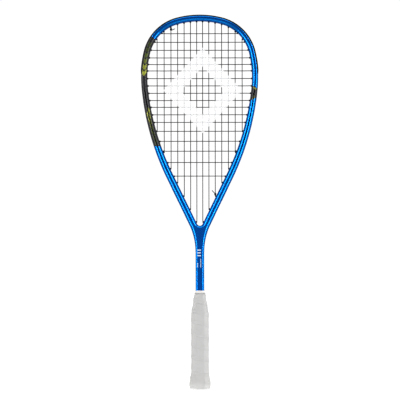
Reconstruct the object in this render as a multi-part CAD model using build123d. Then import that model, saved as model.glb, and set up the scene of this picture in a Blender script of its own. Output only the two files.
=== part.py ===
from build123d import *
import math
import os

# Squash racket, in millimetres. Z runs up the racket from the butt's end face, X runs
# across the head and Y through the beam, with the front face towards -Y.

# Carbon frame
BEAM = 19.0                # depth of the tube, front to back
WALL = 1.2                 # carbon wall
HEAD_TOP = 684.7           # outer edge of the tube at the top of the head
HEAD_ARCS = ((165.5, 14.4), (82.5, 61.8), (207.0, 19.3), (481.2, 20.3))    # radius, turn
OPENING_TOP = 674.4        # inner edge of the tube at the top of the head
OPENING_ARCS = ((154.3, 14.5), (71.7, 62.0), (193.4, 20.0), (476.2, 19.3))
THROAT_RADIUS = 115.0      # bend that brings each limb back to the shaft
CROTCH_RADIUS = 5.7        # round bottom of the open throat
SHAFT_WIDTH = 15.9
SHAFT_BOTTOM = 8.0         # end of the tube inside the handle
BEVEL_ACROSS = 4.2         # bevel on the tube's four long edges, seen from the front
BEVEL_DEEP = 3.0           # and its depth along Y
CHANNEL_DEPTH = 2.6        # string channel along the outer edge of the head
CHANNEL_WIDTH = 5.6
CHANNEL_END = 284.0        # lowest point of the channel on each limb
WIDEST = 570.0             # height at which the head is widest

# Bumper guard and grommets
GUARD = 1.3                # how far the guard stands out of the tube
GUARD_WIDTH = 12.8
GUARD_END = 578.0          # height of the guard's two ends
STRIP = 0.8                # base of the grommet strip, on the channel's floor
STRIP_WIDTH = 5.4
STRIP_GAP = 1.0            # between the guard and each strip
GROOVE_WIDTH = 3.6         # string groove along the guard
BARREL = 3.2
BARREL_FIT = 0.1           # hole in the tube is this much wider than the barrel
BORE = 1.9
NOSE = 1.8                 # height of the barrels' tips above the tube's inner edge
HOLE_SQUARENESS = 2.0      # how far a hole turns from its string towards the tube's normal
STAGGER = 0.9              # holes of mains and crosses stand this far off the beam's centre

# Strings
STRING = 1.25
LOOP_DEPTH = 0.45          # loops outside the tube, below its outer edge
WEAVE = 0.72               # half the rise and fall of the weave
WEAVE_RADIUS = 10.0
CORNER_ROOM = 5.0          # crossings nearer to a nose than this keep the holes' sides
NOSE_RADIUS = 2.0          # bend where a string leaves its nose
LOOP_RADIUS = 0.75
MAIN_COUNT = 14
MAIN_FIRST = 5.4           # first main beside the axis
MAIN_PITCH = 11.0          # pitch beside the axis, and how much each pitch outwards adds
MAIN_SPREAD = 0.3
CROSS_TOP = 651.5
CROSS_PITCHES = (15.8, 14.6, 13.9, 12.1, 11.7, 14.0, 13.4, 13.5, 13.2,
                 12.4, 13.7, 13.9, 16.3, 18.3, 18.1, 20.6, 24.9)
KNOTS = {"tie_off_knot_upper": (3, 1, 0.4),      # main, cross and the cut tail's rise
         "tie_off_knot_lower": (10, 18, 1.0)}
KNOT_TURNS = 3
KNOT_GAP = 1.7             # from the nose's tip to the first turn
KNOT_TAIL = 7.0

# Handle
TAPE = 1.8                 # thickness of the grip tape
GRIP_TOP = 177.5
TAPER_FROM = 136.0         # the handle narrows from here up
GRIP_PROFILE = ((2.5, 17.6, 15.2), (6.0, 19.6, 17.4), (10.0, 20.25, 18.0), (14.0, 20.0, 17.7),
                (20.0, 18.9, 16.6), (27.0, 17.8, 15.5), (32.0, 16.75, 14.5),
                (TAPER_FROM, 16.75, 14.5), (156.0, 13.8, 13.0), (GRIP_TOP, 10.4, 11.6))
CAP_FACE = (13.5, 11.2)    # half sizes of the butt cap's flat end face
CAP_TOP = 30.0
CAP_SLEEVE = 1.4           # wall of the cap round the pallets
CAP_END = 4.5              # thickness of the cap's end wall
BADGE_RADIUS = 9.0
BADGE_DEPTH = 0.8
BADGE_GAP = 0.1
PALLET_BOTTOM = 5.0
FINISHING = 0.7            # thickness of the finishing tape
FINISHING_TOP = 182.5
STAPLE_WIDTH = 8.0
STAPLE_LEG = 5.0
STAPLE_WIRE = 0.6
STAPLE_HEIGHT = 22.0
STAPLE_SINK = 0.15


def head_side(top, arcs, growth):
    """Right half of a head outline from its top centre, moved outwards by growth."""
    edges = []
    point = Vector(0, top + growth)
    direction = Vector(1, 0)
    for radius, turn in arcs:
        edge = JernArc(point, direction, radius + growth, -turn)
        edges.append(edge)
        point = edge @ 1
        direction = edge % 1
    return edges, point, direction


def mirrored_face(half):
    """Closed face made of a right half, its mirror image and, where open, a bottom line."""
    other = [mirror(edge, about=Plane.YZ) for edge in half]
    edges = half + other
    end = half[-1] @ 1
    if end.X > 0.01:
        edges.append(Line(end, (-end.X, end.Y)))
    return Plane.XZ * make_face(edges)


def outer_face(growth=0.0, bottom=SHAFT_BOTTOM):
    """Everything inside the frame's outer edge: head, throat and shaft."""
    half, point, direction = head_side(HEAD_TOP, HEAD_ARCS, growth)
    radius = THROAT_RADIUS - growth
    end = SHAFT_WIDTH / 2 + growth
    run = (point.X - radius * (1 + direction.Y) - end) / -direction.X
    limb = Line(point, point + direction * run)
    back = sum(turn for _, turn in HEAD_ARCS) - 90
    throat = JernArc(limb @ 1, direction, radius, back)
    shaft = Line(throat @ 1, (end, bottom))
    return mirrored_face(half + [limb, throat, shaft])


def opening_face(growth=0.0):
    """The open head and throat inside the tube."""
    half, point, direction = head_side(OPENING_TOP, OPENING_ARCS, growth)
    radius = CROTCH_RADIUS + growth
    run = (point.X + radius * direction.Y) / -direction.X
    limb = Line(point, point + direction * run)
    rest = 180 - sum(turn for _, turn in OPENING_ARCS)
    crotch = JernArc(limb @ 1, direction, radius, -rest)
    return mirrored_face(half + [limb, crotch])


def depth_below(x, z, top, arcs):
    """Depth of a point on the right half below an outline, and the outline's bearing there."""
    bearing = 0.0
    centre_x = 0.0
    centre_z = top - arcs[0][0]
    for index, (radius, turn) in enumerate(arcs):
        bearing += turn
        angle = math.degrees(math.atan2(x - centre_x, z - centre_z)) % 360
        if angle <= bearing:
            return radius - math.hypot(x - centre_x, z - centre_z), angle
        if index + 1 < len(arcs):
            step = radius - arcs[index + 1][0]
            centre_x += step * math.sin(math.radians(bearing))
            centre_z += step * math.cos(math.radians(bearing))
    out = math.radians(bearing)
    depth = arcs[-1][0] - (x - centre_x) * math.sin(out) - (z - centre_z) * math.cos(out)
    return depth, bearing


def meet(x, z, along, top, arcs, depth):
    """Distance along a direction at which a point inside an outline comes to that depth."""
    near = 0.0
    far = 400.0
    for _ in range(50):
        middle = (near + far) / 2
        at = depth_below(x + along[0] * middle, z + along[1] * middle, top, arcs)[0]
        if at > depth:
            near = middle
        else:
            far = middle
    return near


def string_end(x, z, along, stagger):
    """Hole at the end of a string on the right half: the nose's tip, then the hole's axis."""
    reach = meet(x, z, along, OPENING_TOP, OPENING_ARCS, 0.0)
    hit_x = x + along[0] * reach
    hit_z = z + along[1] * reach
    bearing = math.radians(depth_below(hit_x, hit_z, OPENING_TOP, OPENING_ARCS)[1])
    outwards = Vector(math.sin(bearing), 0, math.cos(bearing))
    axis = (outwards * HOLE_SQUARENESS + Vector(along[0], 0, along[1])).normalized()
    free = meet(x, z, along, OPENING_TOP, OPENING_ARCS, NOSE)
    return Vector(x + along[0] * free, stagger, z + along[1] * free), axis


def reach_depth(tip, axis, depth):
    """Point on a hole's axis at a depth below the tube's outer edge, either half."""
    side = 1 if tip.X >= 0 else -1
    length = meet(side * tip.X, tip.Z, (side * axis.X, axis.Z), HEAD_TOP, HEAD_ARCS, depth)
    return tip + axis * length


def flip(end):
    """The same hole on the left half."""
    tip, axis = end
    return Vector(-tip.X, tip.Y, tip.Z), Vector(-axis.X, axis.Y, axis.Z)


def main_places():
    """Distance of each main from the axis, left to right."""
    half = [MAIN_FIRST]
    for step in range(1, MAIN_COUNT // 2):
        half.append(half[-1] + MAIN_PITCH + MAIN_SPREAD * step)
    return [-x for x in reversed(half)] + half


def cross_places():
    """Height of each cross, from the top down."""
    heights = [CROSS_TOP]
    for pitch in CROSS_PITCHES:
        heights.append(heights[-1] - pitch)
    return heights


def main_ends(x):
    """Upper and lower holes of the main at x."""
    upper = string_end(abs(x), WIDEST, (0, 1), STAGGER)
    lower = string_end(abs(x), WIDEST, (0, -1), STAGGER)
    return (upper, lower) if x > 0 else (flip(upper), flip(lower))


def cross_ends(z):
    """Left and right holes of the cross at height z."""
    right = string_end(0.0, z, (1, 0), -STAGGER)
    return flip(right), right


def corner_radii(points, largest):
    """One radius per corner, no larger than its shorter run allows."""
    radii = []
    for before, corner, after in zip(points, points[1:], points[2:]):
        first = corner - before
        second = after - corner
        half_turn = max(math.radians(first.get_angle(second)) / 2, 0.001)
        room = 0.4 * min(first.length, second.length) / math.tan(half_turn)
        radii.append(min(largest, room))
    return radii


def cord(points, radii):
    """Round string along straight runs joined by tangent arcs."""
    path = FilletPolyline(*points, radius=radii)
    section = Plane(origin=path @ 0, z_dir=path % 0) * Circle(STRING / 2)
    return sweep(section, path=path)


def string_run(first, last, crossings):
    """One run: out of one barrel, over and under its crossings and into the other barrel."""
    points = [reach_depth(*first, CHANNEL_DEPTH), first[0]]
    points += crossings
    points += [last[0], reach_depth(*last, CHANNEL_DEPTH)]
    radii = corner_radii(points, WEAVE_RADIUS)
    radii[0] = min(radii[0], NOSE_RADIUS)
    radii[-1] = min(radii[-1], NOSE_RADIUS)
    return cord(points, radii)


def string_loop(first, last):
    """The string between two neighbouring holes, outside the tube in its channel."""
    points = [reach_depth(*first, CHANNEL_DEPTH), reach_depth(*first, LOOP_DEPTH),
              reach_depth(*last, LOOP_DEPTH), reach_depth(*last, CHANNEL_DEPTH)]
    return cord(points, corner_radii(points, LOOP_RADIUS))


def over_under(main, cross, x, z, mains_hole, crosses_hole):
    """Sign of a main's Y at a crossing: the cross has the opposite one.

    Beside a nose both strings keep the side that their holes stand on.
    """
    room = min(abs(mains_hole[0].Z - z), abs(crosses_hole[0].X - x))
    if room < CORNER_ROOM:
        return 1
    return 1 if (main + cross) % 2 else -1


def crossing_signs():
    """Sign of each main at each cross that it meets inside the head."""
    signs = {}
    for main, (x, uprights) in enumerate(zip(mains, main_holes), 1):
        for cross, (z, sides) in enumerate(zip(crosses, cross_holes), 1):
            upright = uprights[0] if z > WIDEST else uprights[1]
            side = sides[1] if x > 0 else sides[0]
            inside = uprights[1][0].Z < z < uprights[0][0].Z
            if inside and abs(x) < abs(side[0].X):
                signs[main, cross] = over_under(main, cross, x, z, upright, side)
    return signs


def barrel(end, radius, past=0.0):
    """Cylinder along a hole's axis from the nose's tip to the channel's floor."""
    tip, axis = end
    length = (reach_depth(tip, axis, CHANNEL_DEPTH - STRIP / 2) - tip).length
    base = Plane(origin=tip - axis * past, z_dir=axis)
    return extrude(base * Circle(radius), amount=length + 2 * past)


def slab(low, high, left=-200.0, right=200.0):
    """Block that keeps the heights between low and high."""
    size = Box(right - left, 4 * BEAM, high - low)
    return Pos((left + right) / 2, 0, (low + high) / 2) * size


def band(outside, inside, width):
    """Ring that follows the tube's outer edge between two growths."""
    ring = outer_face(outside) - outer_face(inside)
    return extrude(ring, amount=width / 2, both=True)


def bevelled(face, depth, across, deep, bottom):
    """Plate with both faces bevelled along every long edge."""
    plate = extrude(face, amount=depth / 2, both=True)
    for pick in (0, -1):
        side = plate.faces().sort_by(Axis.Y)[pick]
        edges = [edge for edge in side.edges() if edge.center().Z > bottom + 1]
        plate = chamfer(edges, length=across, length2=deep, reference=side)
    return plate


def make_frame(ends):
    """Hollow carbon tube with its string channel and every string hole."""
    tube = bevelled(outer_face() - opening_face(), BEAM, BEVEL_ACROSS, BEVEL_DEEP, SHAFT_BOTTOM)
    slope = math.hypot(BEVEL_ACROSS, BEVEL_DEEP)
    deep = BEVEL_DEEP - WALL + WALL * (slope - BEVEL_DEEP) / BEVEL_ACROSS
    across = deep * BEVEL_ACROSS / BEVEL_DEEP
    hollow = outer_face(-WALL, SHAFT_BOTTOM - 1) - opening_face(WALL)
    cavity = bevelled(hollow, BEAM - 2 * WALL, across, deep, SHAFT_BOTTOM - 1)
    channel = band(2.0, -CHANNEL_DEPTH, CHANNEL_WIDTH) & slab(CHANNEL_END, 700)
    channel_wall = band(2.0, -CHANNEL_DEPTH - WALL, CHANNEL_WIDTH + 2 * WALL)
    cavity -= channel_wall & slab(CHANNEL_END - WALL, 700)
    crotch = opening_face().bounding_box().min.Z
    cavity -= slab(-10, crotch, -WALL / 2, WALL / 2)
    tube -= cavity
    tube -= channel
    tube -= [barrel(end, (BARREL + BARREL_FIT) / 2, 1.0) for end in ends]
    return tube


def make_guard(ends):
    """Bumper guard: outer plate, rib in the channel, string groove and barrels."""
    plate = band(GUARD, 0.0, GUARD_WIDTH)
    rib = band(0.0, -CHANNEL_DEPTH, STRIP_WIDTH)
    groove = band(GUARD + 1, STRIP - CHANNEL_DEPTH, GROOVE_WIDTH)
    guard = (plate + rib - groove) & slab(GUARD_END, 700)
    guard += [barrel(end, BARREL / 2) for end in ends]
    guard -= [barrel(end, BORE / 2, 2.0) for end in ends]
    return guard


def make_strip(side, ends):
    """Grommet strip of one limb: a thin base on the channel's floor and its barrels."""
    base = band(STRIP - CHANNEL_DEPTH, -CHANNEL_DEPTH, STRIP_WIDTH)
    low, high = (0.0, 200.0) if side > 0 else (-200.0, 0.0)
    strip = base & slab(CHANNEL_END + 0.5, GUARD_END - STRIP_GAP, low, high)
    strip += [barrel(end, BARREL / 2) for end in ends]
    strip -= [barrel(end, BORE / 2, 2.0) for end in ends]
    return strip


def make_knot(end, crossing, rise):
    """Tie-off: turns wound round a main beside its nose, and the cut tail."""
    tip, _ = end
    along = (crossing - tip).normalized()
    radius = STRING + 0.06
    pitch = 0.92 * STRING
    turns = [Plane(origin=tip + along * (KNOT_GAP + pitch * turn), z_dir=along)
             * Torus(radius, STRING / 2) for turn in range(KNOT_TURNS)]
    side = 1 if along.Z < 0 else -1
    root = tip + along * (KNOT_GAP + pitch) + Vector(side * radius, 0, 0)
    heading = Vector(side, -0.4, rise).normalized()
    tail = extrude(Plane(origin=root, z_dir=heading) * Circle(STRING / 2), amount=KNOT_TAIL)
    return turns[0] + turns[1:] + tail


def octagon(half_x, half_y, z):
    """Handle section: a flat-sided octagon with softened corners, squarer on the taper."""
    taper = max(0.0, z - TAPER_FROM) / (GRIP_TOP - TAPER_FROM)
    cut_x = half_x * (0.52 - 0.12 * taper)
    cut_y = half_y * (0.55 - 0.23 * taper)
    corners = [(half_x, half_y - cut_y), (half_x - cut_x, half_y)]
    corners += [(-x, y) for x, y in reversed(corners)]
    corners += [(x, -y) for x, y in reversed(corners)]
    shape = make_face(Polyline(*corners, close=True))
    return Pos(0, 0, z) * fillet(shape.vertices(), half_y * 0.2)


def profile_at(z):
    """Half sizes of the grip's outside at a height."""
    for (low, x0, y0), (high, x1, y1) in zip(GRIP_PROFILE, GRIP_PROFILE[1:]):
        if z <= high:
            part = (z - low) / (high - low)
            return x0 + (x1 - x0) * part, y0 + (y1 - y0) * part
    return GRIP_PROFILE[-1][1:]


def grip_solid(inset, bottom, top):
    """The handle's shape between two heights, this far inside the tape's outer surface."""
    heights = [bottom] + [z for z, _, _ in GRIP_PROFILE if bottom < z < top] + [top]
    sections = []
    for z in heights:
        half_x, half_y = profile_at(z)
        sections.append(octagon(half_x - inset, half_y - inset, z))
    return loft(sections, ruled=True)


def shaft_block(growth, top, bottom=-1.0):
    """Solid block of the shaft's outer shape, for cutting round it."""
    block = bevelled(outer_face(growth, bottom), BEAM + 2 * growth, BEVEL_ACROSS,
                     BEVEL_DEEP, bottom)
    return block & slab(bottom, top)


def make_staples(growth=0.0):
    """Two staples through the cap's sleeve, one at the front and one at the back."""
    staples = []
    face = profile_at(STAPLE_HEIGHT)[1] - TAPE - STAPLE_SINK
    wire = STAPLE_WIRE + growth
    for side in (-1, 1):
        crown = Box(STAPLE_WIDTH + growth, wire, wire)
        staple = Pos(0, side * (face - wire / 2), STAPLE_HEIGHT) * crown
        for x in (-1, 1):
            leg = Box(wire, STAPLE_LEG, wire)
            place = (x * (STAPLE_WIDTH - STAPLE_WIRE) / 2, side * (face - STAPLE_LEG / 2))
            staple += Pos(*place, STAPLE_HEIGHT) * leg
        staples.append(staple)
    return staples


def make_cap():
    """Butt cap: rounded end wall, flared sleeve and a shallow seat for the badge."""
    low, half_x, half_y = GRIP_PROFILE[0]
    seat = profile_at(CAP_END)
    end = loft([octagon(*CAP_FACE, 0.0), octagon(half_x, half_y, low), octagon(*seat, CAP_END)],
               ruled=True)
    sleeve = grip_solid(TAPE, CAP_END, CAP_TOP)
    cap = end + sleeve - grip_solid(TAPE + CAP_SLEEVE, CAP_END, CAP_TOP + 1)
    cap -= Cylinder(BADGE_RADIUS + BADGE_GAP, 2 * BADGE_DEPTH)
    return cap


def make_pallets(cap):
    """Left and right foam halves round the shaft, stepped to take the butt cap."""
    foam = grip_solid(TAPE, CAP_TOP, GRIP_TOP)
    foam += grip_solid(TAPE + CAP_SLEEVE, PALLET_BOTTOM, CAP_TOP)
    foam -= shaft_block(0.0, GRIP_TOP + 5)
    left = foam & slab(0, GRIP_TOP + 5, -100.0, 0.0)
    right = foam & slab(0, GRIP_TOP + 5, 0.0, 100.0)
    return left, right


def write(name, shape):
    """Write one node."""
    solids = shape if isinstance(shape, list) else [shape]
    flat = []
    for item in solids:
        flat += item.solids()
    whole = flat[0] if len(flat) == 1 else Compound(children=flat)
    whole.label = name
    export_step(whole, f"parts/{name}.step")


os.makedirs("parts", exist_ok=True)

mains = main_places()
crosses = cross_places()
main_holes = [main_ends(x) for x in mains]
cross_holes = [cross_ends(z) for z in crosses]
holes = [end for pair in main_holes + cross_holes for end in pair]
guard_holes = [end for end in holes if reach_depth(*end, CHANNEL_DEPTH).Z > GUARD_END]
limb_holes = [end for end in holes if reach_depth(*end, CHANNEL_DEPTH).Z <= GUARD_END]
signs = crossing_signs()

write("frame", make_frame(holes))
write("bumper_guard", make_guard(guard_holes))
write("grommet_strip_left", make_strip(-1, [end for end in limb_holes if end[0].X < 0]))
write("grommet_strip_right", make_strip(1, [end for end in limb_holes if end[0].X > 0]))

for number, (x, (upper, lower)) in enumerate(zip(mains, main_holes), 1):
    crossings = [Vector(x, WEAVE * signs[number, index], z)
                 for index, z in enumerate(crosses, 1) if (number, index) in signs]
    write(f"main_string_{number:02d}", string_run(upper, lower, crossings))

for number, (z, (left, right)) in enumerate(zip(crosses, cross_holes), 1):
    crossings = [Vector(x, -WEAVE * signs[index, number], z)
                 for index, x in enumerate(mains, 1) if (index, number) in signs]
    write(f"cross_string_{number:02d}", string_run(left, right, crossings))

middle = MAIN_COUNT // 2
main_loops = [string_loop(main_holes[index][0], main_holes[index + 1][0])
              for index in range(0, MAIN_COUNT, 2)]
main_loops += [string_loop(main_holes[index][1], main_holes[index + 1][1])
               for index in range(1, MAIN_COUNT - 1, 2)]
cross_loops = [string_loop(cross_holes[index][(index + 1) % 2], cross_holes[index + 1][(index + 1) % 2])
               for index in range(len(crosses) - 1)]
write("main_string_loops", main_loops)
write("cross_string_loops", cross_loops)

for name, (number, cross, rise) in KNOTS.items():
    pair = main_holes[number - 1]
    x = mains[number - 1]
    crossing = Vector(x, WEAVE * signs[number, cross], crosses[cross - 1])
    write(name, make_knot(pair[0] if crossing.Z > WIDEST else pair[1], crossing, rise))

staple_slots = make_staples(0.02)
cap = make_cap()
pallet_left, pallet_right = make_pallets(cap)
write("butt_cap", cap - staple_slots)
write("handle_pallet_left", pallet_left - staple_slots)
write("handle_pallet_right", pallet_right - staple_slots)
write("butt_cap_staples", make_staples())
write("butt_cap_badge", Pos(0, 0, BADGE_DEPTH / 2) * Cylinder(BADGE_RADIUS, BADGE_DEPTH))
write("grip_tape", grip_solid(0.0, CAP_END, GRIP_TOP) - grip_solid(TAPE, CAP_END - 1, GRIP_TOP + 1))
write("finishing_tape", shaft_block(FINISHING, FINISHING_TOP, GRIP_TOP) - shaft_block(0.0, 200.0))
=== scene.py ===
import math

import bmesh
import bpy
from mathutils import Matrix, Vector


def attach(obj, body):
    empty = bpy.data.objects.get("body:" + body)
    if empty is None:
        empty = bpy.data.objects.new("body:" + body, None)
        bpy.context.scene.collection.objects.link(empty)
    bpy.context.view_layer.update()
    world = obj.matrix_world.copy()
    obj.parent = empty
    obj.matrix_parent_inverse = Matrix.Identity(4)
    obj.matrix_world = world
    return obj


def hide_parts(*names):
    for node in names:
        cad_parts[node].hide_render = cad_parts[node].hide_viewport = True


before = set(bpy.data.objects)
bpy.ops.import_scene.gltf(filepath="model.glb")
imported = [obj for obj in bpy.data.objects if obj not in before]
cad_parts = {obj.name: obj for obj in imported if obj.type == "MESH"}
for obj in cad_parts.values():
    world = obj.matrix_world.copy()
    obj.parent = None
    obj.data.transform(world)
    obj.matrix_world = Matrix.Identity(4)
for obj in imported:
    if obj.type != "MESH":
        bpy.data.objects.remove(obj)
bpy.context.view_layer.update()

# Everything below is worked out in millimetres in the CAD frame, and turned into metres
# where a mesh, a light or the camera is made. Z runs up the racket, the front is -Y.
MM = 0.001

# Carbon frame, as in the CAD
BEAM = 19.0
HEAD_TOP = 684.7
HEAD_ARCS = ((165.5, 14.4), (82.5, 61.8), (207.0, 19.3), (481.2, 20.3))    # radius, turn
OPENING_TOP = 674.4
OPENING_ARCS = ((154.3, 14.5), (71.7, 62.0), (193.4, 20.0), (476.2, 19.3))
THROAT_RADIUS = 115.0
CROTCH_RADIUS = 5.7
SHAFT_WIDTH = 15.9
SHAFT_BOTTOM = 8.0
BEVEL_ACROSS = 4.2
BEVEL_DEEP = 3.0            # of the shaft under the finishing tape
CHANNEL_DEPTH = 2.6
CHANNEL_WIDTH = 5.6
CHANNEL_END = 284.0
WIDEST = 570.0
GUARD = 1.3
GUARD_WIDTH = 12.8
GUARD_END = 578.0
STRIP = 0.8
STRIP_WIDTH = 5.4
STRIP_GAP = 1.0
GROOVE_WIDTH = 3.6
BARREL = 3.2
BORE = 1.9
NOSE = 1.8
HOLE_SQUARENESS = 2.0
STAGGER = 0.9

# Strings, as in the CAD
STRING = 1.25
LOOP_DEPTH = 0.45
WEAVE = 0.72
WEAVE_RADIUS = 10.0
CORNER_ROOM = 5.0
NOSE_RADIUS = 2.0
LOOP_RADIUS = 0.75
MAIN_COUNT = 14
MAIN_FIRST = 5.4
MAIN_PITCH = 11.0
MAIN_SPREAD = 0.3
CROSS_TOP = 651.5
CROSS_PITCHES = (15.8, 14.6, 13.9, 12.1, 11.7, 14.0, 13.4, 13.5, 13.2,
                 12.4, 13.7, 13.9, 16.3, 18.3, 18.1, 20.6, 24.9)
KNOTS = {"tie_off_knot_upper": (3, 1, 0.4),      # main, cross and the cut tail's rise
         "tie_off_knot_lower": (10, 18, 1.0)}
KNOT_TURNS = 3
KNOT_GAP = 1.7
KNOT_TAIL = 7.0

# Handle, as in the CAD
TAPE = 1.8
GRIP_TOP = 177.5
TAPER_FROM = 136.0
GRIP_PROFILE = ((2.5, 17.6, 15.2), (6.0, 19.6, 17.4), (10.0, 20.25, 18.0), (14.0, 20.0, 17.7),
                (20.0, 18.9, 16.6), (27.0, 17.8, 15.5), (32.0, 16.75, 14.5),
                (TAPER_FROM, 16.75, 14.5), (156.0, 13.8, 13.0), (GRIP_TOP, 10.4, 11.6))
CAP_FACE = (13.5, 11.2)
CAP_TOP = 30.0
CAP_SLEEVE = 1.4
CAP_END = 4.5
BADGE_RADIUS = 9.0
BADGE_DEPTH = 0.8
BADGE_GAP = 0.1
FINISHING = 0.7
FINISHING_TOP = 182.5
FINISHING_STEP = 0.16       # thickness of the tape's last lap,
FINISHING_SINGLE = (0.12, 0.60)    # which this part of the way round goes without

# Looks only
BEVEL_STEEP = 76.0          # a bevel is an arc whose normal turns through these angles to the face
BEVEL_SHALLOW = 10.0
BEVEL_STEPS = 12
BEVEL_WIDENS = (262.0, 300.0)    # heights between which the shaft's bevels widen to the limbs',
BEVEL_WIDER = 1.8           # and by how much
BEVEL_INNER = 6.2           # widest that the inner bevel gets
BEVEL_SHIFTS = (548.0, 588.0)    # heights over which the ridge moves out beside the guard,
BEVEL_SHIFT = 0.13          # by this share of the tube's width
CROTCH_BEVEL = 4.3          # width of the inner bevel at the bottom of the crotch
RIDGE = 1.6                 # flat between the bevels of the head
RIDGE_FROM = (296.0, 315.0)      # heights over which the painted shade along the ridge comes in
LIP = 0.35                  # rounding of the channel's lips
GUARD_TAPER = 7.0           # length over which the guard thins towards its ends,
GUARD_THIN = 0.35           # to this share of its height
STATION = 2.0               # length of one step of the tube's mesh along the head
STRING_SIDES = 12
GRIP_SEAMS = (-1.0, 16.5, 33.8, 55.4, 76.8, 98.4, 121.0, 140.0, 159.0, 177.0, 195.0)
SEAM_DEEP = 0.62            # step at the edge of each turn of the grip tape
SEAM_ROUND = 0.02           # rounding of that edge, in turns
SEAM_TUCK = 0.965           # from here on the tape dips under the next turn's edge
WRAP_DEEP = 0.42            # how far the tape sinks between its overlap and the next edge,
WRAP_SINKS = (0.14, 0.44)   # and over which part of a turn
WRAP_STEPS = (0.0, 0.004, 0.01, 0.02, 0.06, 0.14, 0.2, 0.26, 0.33, 0.44, 0.55, 0.66, 0.77,
              0.88, 0.94, 0.965, 0.985, 0.9999)
WRAP_WAVE = 0.25            # the edges wander up and down by this much, as a tape wound by
WRAP_WAVE_SHIFT = 2.1       # hand does, and how far that moves on from turn to turn
FRONT = 0.75                # share of the way round, from +X, at which the front's middle lies
BLACK_TOP = 646.0           # black stretch of the left side: square to the tube at the top,
BLACK_BOTTOM = 445.5        # level at the bottom
CHEVRON_MIDDLE = 541.6      # height between the two groups of chevrons
CHEVRON_FIRST = 30.2        # from there along the tube to the nearest tip
CHEVRON_PITCH = 11.3
CHEVRON_LINE = 2.8          # dark line between two chevrons
CHEVRON_COUNT = 6
CHEVRON_SLOPE = 1.5
CHEVRON_HALF = 4.1
CHEVRON_NARROWS = 0.6       # from each of the first three chevrons to the next
BAND_MIDDLE = 542.3         # dark band of the right side
BAND_HALF = (8.8, 13.7)     # half length at the outer and the inner edge,
BAND_REACH = 5.2            # this far from the tube's middle
TOOTH_HALF = 4.0            # half width of the triangles at the band's ends, and their slope
TOOTH_SLOPE = 1.9
PAINT_EDGE = 0.25           # half the softness of a painted edge
SHAFT_BARS = ((-4.6, 1.9, 255.0, 257.3), (-4.6, 1.9, 249.9, 252.2), (-4.6, 1.9, 244.8, 247.1),
              (0.9, 2.2, 224.5, 240.5), (-4.5, -3.4, 224.5, 232.5))    # left, right, low, high
STENCIL_CENTRE = (5.6, 547.6)
STENCIL_OUTER = (72.0, 78.0)
STENCIL_INNER = (40.0, 44.0)

# Camera: the width that it sees at the racket, how far away, and the racket's lean
VIEW_WIDTH = 731.4
VIEW_DISTANCE = 3000.0
VIEW_CENTRE = (0.32, 347.4)
VIEW_ROLL = -0.08
VIEW_GAMMA = 0.75

# Light, in metres: every box is given by its name, place, the height that it is aimed at,
# its width and length, its radiance and whether gloss mirrors it
SOFTBOXES = (("softbox_left", (-2.12, -1.50, 0.6), 0.5, (0.5, 4.0), 6.0, True),
             ("softbox_right", (2.12, -1.50, 0.6), 0.5, (0.5, 4.0), 6.0, True),
             ("fill_left", (-3.0, 0.0, 0.5), 0.4, (2.0, 2.4), 2.4, False),
             ("fill_right", (3.0, 0.0, 0.5), 0.4, (2.0, 2.4), 3.6, False),
             ("softbox_top", (0.0, -1.1, 3.0), 0.5, (2.2, 1.8), 1.5, True),
             ("softbox_low", (0.0, -1.42, -1.7), 0.5, (2.4, 0.8), 0.9, True))
AMBIENT = 0.25              # even light from all round
BACKDROP = 1.02             # what the camera sees behind the racket
FLOOR_HALF = 8.0


# ---------------------------------------------------------------- outlines and holes

def arc_spans(top, arcs):
    """Centre, radius and first and last bearing of each arc of a half outline."""
    spans = []
    x = 0.0
    z = top - arcs[0][0]
    bearing = 0.0
    for index, (radius, turn) in enumerate(arcs):
        spans.append((x, z, radius, bearing, bearing + turn))
        bearing += turn
        if index + 1 < len(arcs):
            step = radius - arcs[index + 1][0]
            x += step * math.sin(math.radians(bearing))
            z += step * math.cos(math.radians(bearing))
    return spans


def outline_at(spans, bearing):
    """Point of a half outline and its outward normal, both as (x, z)."""
    for x, z, radius, _, last in spans:
        if bearing <= last + 1e-6:
            break
    angle = math.radians(bearing)
    normal = (math.sin(angle), math.cos(angle))
    return (x + radius * normal[0], z + radius * normal[1]), normal


def arc_length(spans, bearing):
    """Distance from the top centre along a half outline to a bearing on its arcs."""
    return sum(radius * math.radians(max(0.0, min(bearing, last) - first))
               for _, _, radius, first, last in spans)


OUTER = arc_spans(HEAD_TOP, HEAD_ARCS)
OPENING = arc_spans(OPENING_TOP, OPENING_ARCS)
LIMB_BEARING = OUTER[-1][4]


def outer_path(travel):
    """Point and outward normal at a distance along the tube's outer edge."""
    left = travel
    for x, z, radius, first, last in OUTER:
        length = radius * math.radians(last - first)
        if left <= length:
            return outline_at(OUTER, first + math.degrees(left / radius))
        left -= length
    point, normal = outline_at(OUTER, LIMB_BEARING)
    along = (normal[1], -normal[0])
    foot = point[0] - THROAT_RADIUS * (1 - normal[0]) - SHAFT_WIDTH / 2
    length = foot / -along[0]
    if left <= length:
        return (point[0] + along[0] * left, point[1] + along[1] * left), normal
    left -= length
    end = (point[0] + along[0] * length, point[1] + along[1] * length)
    centre = (end[0] + THROAT_RADIUS * normal[0], end[1] + THROAT_RADIUS * normal[1])
    turned = math.degrees(left / THROAT_RADIUS)
    if turned <= LIMB_BEARING - 90:
        angle = math.radians(LIMB_BEARING - turned)
        normal = (math.sin(angle), math.cos(angle))
        return (centre[0] - THROAT_RADIUS * normal[0],
                centre[1] - THROAT_RADIUS * normal[1]), normal
    left -= THROAT_RADIUS * math.radians(LIMB_BEARING - 90)
    return (SHAFT_WIDTH / 2, centre[1] - left), (1.0, 0.0)


def furthest(limit, holds):
    """Largest distance up to a limit at which holds(distance) is still true."""
    near = 0.0
    far = limit
    for _ in range(50):
        middle = (near + far) / 2
        if holds(middle):
            near = middle
        else:
            far = middle
    return near


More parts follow.
